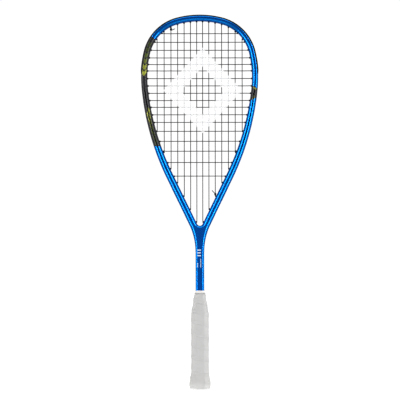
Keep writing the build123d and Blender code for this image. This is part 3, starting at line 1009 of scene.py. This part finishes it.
def make_strings(material):
    """Every main and cross as its own woven string."""
    runs = []
    for number, x in enumerate(mains, 1):
        signs = [(crossing_sign(number, index), z) for index, z in enumerate(crosses, 1)]
        crossings = [Vector((x, WEAVE * sign, z)) for sign, z in signs if sign]
        runs.append(("main", number, main_holes[number - 1], crossings))
    for number, z in enumerate(crosses, 1):
        signs = [(crossing_sign(index, number), x) for index, x in enumerate(mains, 1)]
        crossings = [Vector((x, -WEAVE * sign, z)) for sign, x in signs if sign]
        runs.append(("cross", number, cross_holes[number - 1], crossings))
    for kind, number, (first, last), crossings in runs:
        shell = Shell("along", "around")
        tube(shell, run_line(first, last, crossings))
        name = f"{kind}_{number:02d}"
        shell.piece(name, material, [f"{kind}_string_{number:02d}"])


def make_loops(material):
    """The strings' short loops outside the tube."""
    pairs = [(main_holes[index][0], main_holes[index + 1][0]) for index in range(0, MAIN_COUNT, 2)]
    pairs += [(main_holes[index][1], main_holes[index + 1][1])
              for index in range(1, MAIN_COUNT - 1, 2)]
    crosswise = [(cross_holes[index][(index + 1) % 2], cross_holes[index + 1][(index + 1) % 2])
                 for index in range(len(crosses) - 1)]
    for kind, ends in (("main", pairs), ("cross", crosswise)):
        shell = Shell("along", "around")
        for first, last in ends:
            tube(shell, loop_line(first, last))
        shell.piece(f"{kind}_loops", material, [f"{kind}_string_loops"])


def make_knot(name, material):
    """Tie-off: turns wound round a main beside its nose, and the cut tail."""
    number, cross, rise = KNOTS[name]
    upper, lower = main_holes[number - 1]
    target = Vector((mains[number - 1], WEAVE * crossing_sign(number, cross), crosses[cross - 1]))
    tip, _ = upper if target.z > WIDEST else lower
    along = (target - tip).normalized()
    side = 1 if along.z < 0 else -1
    spoke = Vector((side, 0, 0))
    spoke = (spoke - along * spoke.dot(along)).normalized()
    other = along.cross(spoke)
    radius = STRING + 0.06
    pitch = 0.92 * STRING
    steps = 28
    points = []
    for step in range(-steps // 4, KNOT_TURNS * steps + 1):
        angle = 2 * math.pi * step / steps
        arm = spoke * math.cos(angle) + other * math.sin(angle)
        height = KNOT_GAP - 0.5 * pitch + pitch * max(0, step) / steps
        points.append(tip + along * height + arm * radius)
    heading = (points[-1] - points[-2]).normalized()
    aim = Vector((side, -0.4, rise)).normalized()
    place = points[-1]
    for step in range(1, 15):
        part = min(1.0, step / 7)
        direction = (heading * (1 - part) + aim * part).normalized()
        place = place + direction * KNOT_TAIL / 12
        points.append(place)
    shell = Shell("along", "around")
    tube(shell, points, round_end=True)
    return shell.piece(f"{name}_coil", material, [name])


# ---------------------------------------------------------------- handle

def smooth_profile(z):
    """Half sizes of the grip's outside at a height, on a curve without overshoot."""
    knots = GRIP_PROFILE
    if z <= knots[0][0]:
        return knots[0][1:]
    if z >= knots[-1][0]:
        return knots[-1][1:]
    place = max(i for i, knot in enumerate(knots) if knot[0] <= z)
    place = min(place, len(knots) - 2)
    low, high = knots[place], knots[place + 1]
    length = high[0] - low[0]
    part = (z - low[0]) / length
    sizes = []
    for axis in (1, 2):
        slope = [(b[axis] - a[axis]) / (b[0] - a[0]) for a, b in zip(knots, knots[1:])]

        def tangent(index):
            if index in (0, len(knots) - 1):
                return slope[min(index, len(slope) - 1)]
            before, after = slope[index - 1], slope[index]
            return 2 * before * after / (before + after) if before * after > 0 else 0.0

        start = tangent(place) * length
        end = tangent(place + 1) * length
        rise = high[axis] - low[axis]
        sizes.append(low[axis] + start * part + (3 * rise - 2 * start - end) * part ** 2
                     + (start + end - 2 * rise) * part ** 3)
    return tuple(sizes)


def eight_fillets(quarter, radius):
    """Arcs round the eight corners that two mirror into, anticlockwise from +X."""
    corners = quarter + [(-x, y) for x, y in reversed(quarter)]
    corners += [(x, -y) for x, y in reversed(corners)]
    corners = [Vector(c) for c in corners]
    return [rounded([corners[index - 1], corner, corners[(index + 1) % 8]], (radius,), 5)[1:-1]
            for index, corner in enumerate(corners)]


def octagon(half_x, half_y, z):
    """Points round the handle's section, anticlockwise from +X, seen from above."""
    taper = max(0.0, z - TAPER_FROM) / (GRIP_TOP - TAPER_FROM)
    cut_x = half_x * (0.52 - 0.12 * taper)
    cut_y = half_y * (0.55 - 0.23 * taper)
    radius = 0.2 * half_y
    fillets = eight_fillets([(half_x, half_y - cut_y), (half_x - cut_x, half_y)], radius)
    points = []
    start = (fillets[0][0] + fillets[-1][-1]) / 2
    sequence = [start] + [p for fillet in fillets for p in fillet] + [start]
    for one, two in zip(sequence, sequence[1:]):
        points.append(one)
        if (two - one).length > 1.2 * radius:
            points += [one.lerp(two, step / 5) for step in range(1, 5)]
    return points


def loft_row(shell, half_x, half_y, z, inset=0.0, **values):
    """One closed row of the handle's section."""
    return [shell.add((p.x, p.y, z), **values) for p in octagon(half_x - inset, half_y - inset, z)]


def seam_height(turns):
    """Height of the tape's lower edge after so many turns, counted at the front's middle."""
    place = max(0, min(len(GRIP_SEAMS) - 2, math.floor(turns)))
    return GRIP_SEAMS[place] + (GRIP_SEAMS[place + 1] - GRIP_SEAMS[place]) * (turns - place)


def seam_turns(height):
    """Turns after which the tape's lower edge comes to a height."""
    place = max(i for i, z in enumerate(GRIP_SEAMS[:-1]) if z <= max(height, GRIP_SEAMS[0]))
    return place + (height - GRIP_SEAMS[place]) / (GRIP_SEAMS[place + 1] - GRIP_SEAMS[place])


def wrap_depth(part):
    """How deep the tape's surface lies at a part of the way from one edge to the next."""
    if part < SEAM_ROUND:
        return SEAM_DEEP * (1 - math.sqrt(part / SEAM_ROUND)) * 0.6
    sunk = WRAP_DEEP * ease(part, *WRAP_SINKS)
    if part > SEAM_TUCK:
        sunk += (SEAM_DEEP - WRAP_DEEP) * (part - SEAM_TUCK) / (1 - SEAM_TUCK)
    return sunk


def make_grip(material):
    """Grip tape wound up the handle, each turn lapping over the one below."""
    shell = Shell("turn")
    ring = octagon(16.75, 14.5, 80.0)
    lengths = [0.0]
    for one, two in zip(ring, ring[1:] + ring[:1]):
        lengths.append(lengths[-1] + (two - one).length)
    rows = []
    for turn in range(len(GRIP_SEAMS) + 1):
        for part in WRAP_STEPS:
            row = []
            for column, length in enumerate(lengths):
                share = length / lengths[-1]
                z = seam_height(turn + part - (share - FRONT) - 1)
                shade = part
                if CAP_END < z < GRIP_TOP:
                    wave = 6 * math.pi * share + WRAP_WAVE_SHIFT * (turn - share)
                    z = max(CAP_END, min(GRIP_TOP, z + WRAP_WAVE * math.sin(wave)))
                else:
                    z = max(CAP_END, min(GRIP_TOP, z))
                    shade = (seam_turns(z) + share - FRONT) % 1.0
                half_x, half_y = smooth_profile(z)
                inset = wrap_depth(shade) + 0.5 * max(0.0, 1 - (z - CAP_END) / 1.2) ** 2
                inset += 0.5 * max(0.0, 1 - (GRIP_TOP - z)) ** 2
                section = octagon(half_x - inset, half_y - inset, z)
                point = section[column % len(section)]
                row.append(shell.add((point.x, point.y, z), turn=shade))
            rows.append(row)
    shell.grid(rows)
    lining = [loft_row(shell, *smooth_profile(z), z, TAPE, turn=0.5)
              for z in (GRIP_TOP, TAPER_FROM, CAP_TOP, 14.0, CAP_END)]
    shell.grid([rows[-1][:-1], *lining, rows[0][:-1]], closed=True)
    return shell.piece("grip_wrap", material, ["grip_tape"], crease=50.0)


def make_cap(material):
    """Butt cap: recessed seat, rounded end wall and the sleeve under the tape."""
    shell = Shell()
    seat = BADGE_RADIUS + BADGE_GAP
    shape = octagon(*CAP_FACE, 0.0)

    def circle(radius, z):
        return [shell.add((radius * p.x / p.length, radius * p.y / p.length, z)) for p in shape]

    rows = [circle(0.01, BADGE_DEPTH), circle(4.5, BADGE_DEPTH), circle(seat - 0.1, BADGE_DEPTH),
            circle(seat, BADGE_DEPTH - 0.1), circle(seat, 0.12), circle(seat + 0.12, 0.0)]
    face = smooth_profile(CAP_END)
    for angle in range(0, 91, 10):
        turn = math.radians(angle)
        part_x = CAP_FACE[0] + (face[0] - 0.35 - CAP_FACE[0]) * math.sin(turn)
        part_y = CAP_FACE[1] + (face[1] - 0.35 - CAP_FACE[1]) * math.sin(turn)
        rows.append(loft_row(shell, part_x, part_y, (CAP_END - 0.3) * (1 - math.cos(turn))))
    rows.append(loft_row(shell, *face, CAP_END, 0.55))
    rows.append(loft_row(shell, *face, CAP_END, TAPE))
    for z in (10.0, 14.0, 20.0, 27.0, CAP_TOP):
        rows.append(loft_row(shell, *smooth_profile(z), z, TAPE))
    for z in (CAP_TOP, 27.0, 20.0, 14.0, 10.0, CAP_END):
        rows.append(loft_row(shell, *smooth_profile(z), z, TAPE + CAP_SLEEVE))
    shell.grid(rows, closed=True)
    shell.faces.append(tuple(reversed(rows[0])))
    shell.faces.append(tuple(rows[-1]))
    return shell.piece("butt_cap_end", material, ["butt_cap"], crease=45.0)


def make_badge(material):
    """Blank round badge with a raised rim."""
    shell = Shell()
    profile = [(0.01, 0.16), (3.0, 0.16), (6.8, 0.16), (7.2, 0.14), (7.5, 0.04), (7.9, 0.0),
               (8.5, 0.0), (BADGE_RADIUS - 0.08, 0.06), (BADGE_RADIUS, 0.2),
               (BADGE_RADIUS, BADGE_DEPTH), (0.01, BADGE_DEPTH)]
    rows = []
    for radius, z in profile:
        rows.append([shell.add((radius * math.cos(math.pi * step / 36),
                                radius * math.sin(math.pi * step / 36), z)) for step in range(72)])
    shell.grid(rows, closed=True)
    shell.faces.append(tuple(rows[0]))
    shell.faces.append(tuple(rows[-1]))
    return shell.piece("badge_blank", material, ["butt_cap_badge"])


def shaft_section(growth):
    """Right-handed closed outline of the shaft with its bevels, grown outwards."""
    half = SHAFT_WIDTH / 2 + growth
    deep = BEAM / 2 + growth
    fillets = eight_fillets([(half, deep - BEVEL_DEEP), (half - BEVEL_ACROSS, deep)], 1.6)
    points = [point for fillet in fillets for point in fillet]
    dense = []
    for one, two in zip(points, points[1:] + points[:1]):
        dense += [one.lerp(two, step / 4) for step in range(4)] if (two - one).length > 2 else [one]
    return dense


def make_finishing(material):
    """Finishing tape: one and a bit turns round the shaft, with its free end's edge."""
    shell = Shell()
    rows = []
    profile = ((0.0, 0.0), (0.0, 0.45), (0.1, 0.62), (0.9, FINISHING), (2.5, FINISHING - 0.03),
               (4.2, FINISHING), (4.8, 0.55), (FINISHING_TOP - GRIP_TOP, 0.35),
               (FINISHING_TOP - GRIP_TOP, 0.0))
    for rise, growth in profile:
        double = shaft_section(growth)
        single = shaft_section(growth - FINISHING_STEP) if growth > 0.5 else double
        row = []
        for number, point in enumerate(double):
            if FINISHING_SINGLE[0] < number / len(double) < FINISHING_SINGLE[1]:
                point = single[number]
            row.append(shell.add((point.x, point.y, GRIP_TOP + rise)))
        rows.append(row)
    shell.grid(rows + [rows[0]], closed=True)
    return shell.piece("finishing_band", material, ["finishing_tape"])


# ---------------------------------------------------------------- stage, light, camera

def make_floor():
    """Plain pale floor that the racket's butt stands on."""
    paint = Paint("studio_floor", Roughness=1.0, Specular_IOR_Level=0.0)
    shade = paint.noise(paint.place(), 0.002)
    paint.set("Base Color", paint.mix(shade, (0.48, 0.48, 0.48), (0.52, 0.52, 0.52)))
    paint.set("Emission Color", (1.0, 1.0, 1.0))
    paint.set("Emission Strength", 1.0)
    mesh = bpy.data.meshes.new("floor")
    corners = [(FLOOR_HALF * x, FLOOR_HALF * y, 0) for x, y in ((-1, -1), (1, -1), (1, 1), (-1, 1))]
    mesh.from_pydata(corners, [], [(0, 1, 2, 3)])
    mesh.materials.append(paint.material)
    floor = put("floor", mesh)
    floor.visible_glossy = False
    floor.visible_shadow = False


def make_world():
    """White behind the racket, and a dim even light from all round."""
    world = bpy.data.worlds.new("studio")
    bpy.context.scene.world = world
    world.use_nodes = True
    tree = world.node_tree
    background = tree.nodes["Background"]
    background.inputs["Color"].default_value = (1.0, 1.0, 1.0, 1.0)
    path = tree.nodes.new("ShaderNodeLightPath")
    level = tree.nodes.new("ShaderNodeMapRange")
    level.inputs["To Min"].default_value = AMBIENT
    level.inputs["To Max"].default_value = BACKDROP
    tree.links.new(path.outputs["Is Camera Ray"], level.inputs["Value"])
    tree.links.new(level.outputs[0], background.inputs["Strength"])


def make_softbox(name, place, aimed, size, radiance, mirrored):
    """Rectangular soft light at a place, aimed at a height on the racket's axis."""
    data = bpy.data.lights.new(name, "AREA")
    data.shape = "RECTANGLE"
    data.size, data.size_y = size
    data.energy = radiance * math.pi * size[0] * size[1]
    lamp = put(name, data)
    lamp.location = place
    aim = Vector((0, 0, aimed)) - Vector(place)
    lamp.rotation_euler = aim.to_track_quat("-Z", "Y").to_euler()
    lamp.visible_camera = False
    lamp.visible_glossy = mirrored


def make_camera():
    """Camera square to the racket's face."""
    data = bpy.data.cameras.new("camera")
    data.lens = data.sensor_width * VIEW_DISTANCE / VIEW_WIDTH
    data.clip_start = 0.1
    data.clip_end = 50.0
    camera = put("camera", data)
    camera.location = (VIEW_CENTRE[0] * MM, -VIEW_DISTANCE * MM, VIEW_CENTRE[1] * MM)
    camera.rotation_euler = (math.radians(90), math.radians(-VIEW_ROLL), 0.0)
    bpy.context.scene.camera = camera


mains = main_places()
crosses = cross_places()
main_holes = [main_ends(x) for x in mains]
cross_holes = [cross_ends(z) for z in crosses]
holes = [end for pair in main_holes + cross_holes for end in pair]
guard_holes = [end for end in holes if reach_depth(end, CHANNEL_DEPTH).z > GUARD_END]
limb_holes = [end for end in holes if reach_depth(end, CHANNEL_DEPTH).z <= GUARD_END]

make_frame()
make_guard(moulded("guard_nylon", (0.012, 0.012, 0.013)), guard_holes)
grommet = moulded("grommet_nylon", (0.010, 0.010, 0.011), rough=0.26)
make_strip(-1, grommet, limb_holes)
make_strip(1, grommet, limb_holes)
string = string_paint()
make_strings(string)
make_loops(string)
for knot in KNOTS:
    make_knot(knot, string)
make_grip(grip_paint())
make_cap(cap_paint())
make_badge(badge_paint())
make_finishing(tape_paint())
foam = pallet_paint()
for node, material in (("handle_pallet_left", foam), ("handle_pallet_right", foam),
                       ("butt_cap_staples", staple_paint())):
    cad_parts[node].data.materials.clear()
    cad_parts[node].data.materials.append(material)

make_floor()
make_world()
for box in SOFTBOXES:
    make_softbox(*box)
make_camera()
bpy.context.scene.view_settings.view_transform = "Standard"
bpy.context.scene.view_settings.gamma = VIEW_GAMMA
